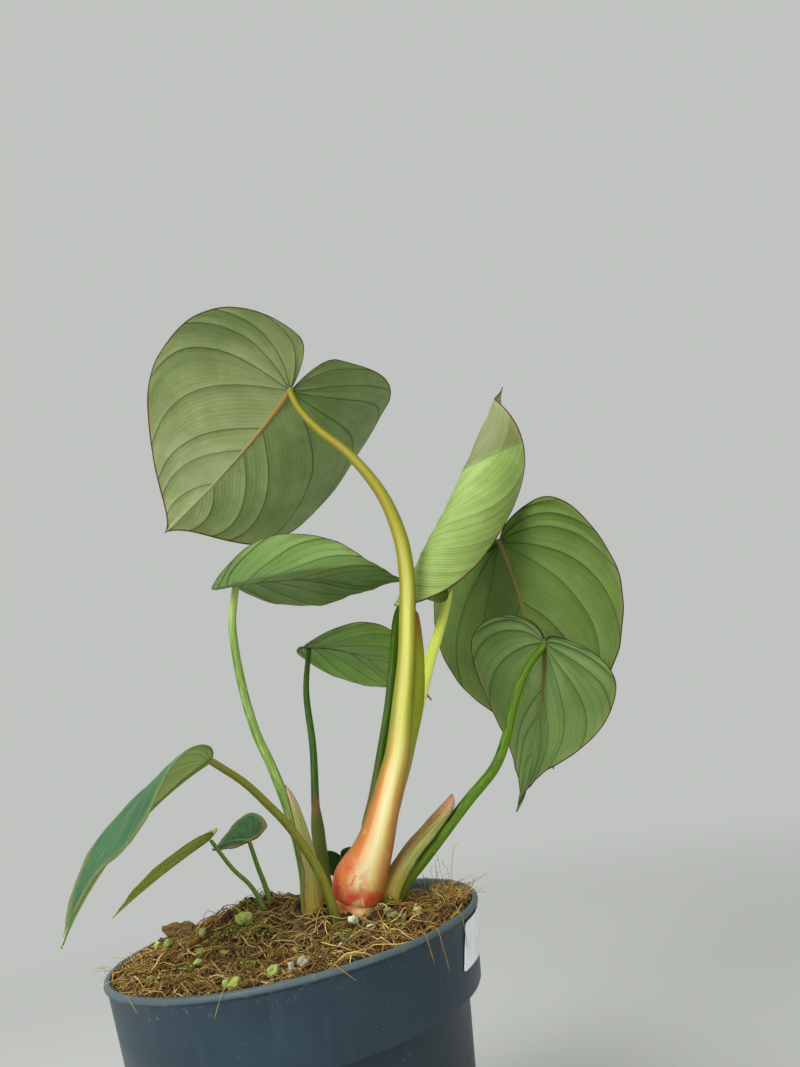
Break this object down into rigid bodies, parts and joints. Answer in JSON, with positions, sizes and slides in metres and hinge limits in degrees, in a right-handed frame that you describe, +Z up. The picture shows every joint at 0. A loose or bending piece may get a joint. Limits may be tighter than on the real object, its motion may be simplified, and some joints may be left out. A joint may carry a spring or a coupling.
{
  "type": "potted philodendron",
  "caption": "Aroid house plant with heart-shaped leaves on long arching stalks, growing from a mound of soil in a round tapered nursery pot.",
  "frame": {"origin": "middle of the pot's flat underside", "axes": "+Z up along the pot's axis; the picture looks along +Y, with +X to its right"},
  "size_m": [0.2718, 0.245, 0.4884],
  "materials": {
    "pot_plastic": "dark slate blue moulded plastic with a soft sheen and light scuffs",
    "sticker_paper": "smooth white label",
    "soil_mix": "moist peat and coir, rough",
    "rhizome_skin": "smooth fleshy stem, cream with orange and red blotches",
    "petiole_cream": "smooth waxy stalk, yellow-cream",
    "petiole_lime": "smooth waxy stalk, bright lime",
    "petiole_green": "smooth waxy stalk, mid green",
    "petiole_olive": "smooth waxy stalk, olive with pale streaks",
    "cataphyll": "papery drying sheath, brown and olive",
    "leaf_mature": "leathery leaf with a soft sheen, quilted between veins",
    "leaf_new": "young leaf, lime green, soft sheen"
  },
  "bodies": {
    "root": {"pot": "pot_plastic", "sticker": "sticker_paper", "soil": "soil_mix", "rhizome": "rhizome_skin", "stalk_a": "petiole_cream", "stalk_b": "petiole_lime", "stalk_c": "petiole_green", "stalk_d": "petiole_green", "stalk_e": "petiole_olive", "stalk_f": "petiole_green", "stalk_g": "petiole_olive", "stalk_h": "petiole_green", "stalk_i": "petiole_green", "stalk_j": "petiole_green", "sheath_b": "cataphyll", "sheath_d": "cataphyll", "sheath_e": "cataphyll", "sheath_f": "cataphyll", "leaf_a": "leaf_mature", "leaf_b": "leaf_new", "leaf_c": "leaf_mature", "leaf_d": "leaf_mature", "leaf_e": "leaf_mature", "leaf_f": "leaf_mature", "leaf_g": "leaf_mature", "leaf_h": "leaf_mature", "leaf_i": "leaf_mature", "leaf_j": "leaf_mature"}
  },
  "joints": []
}
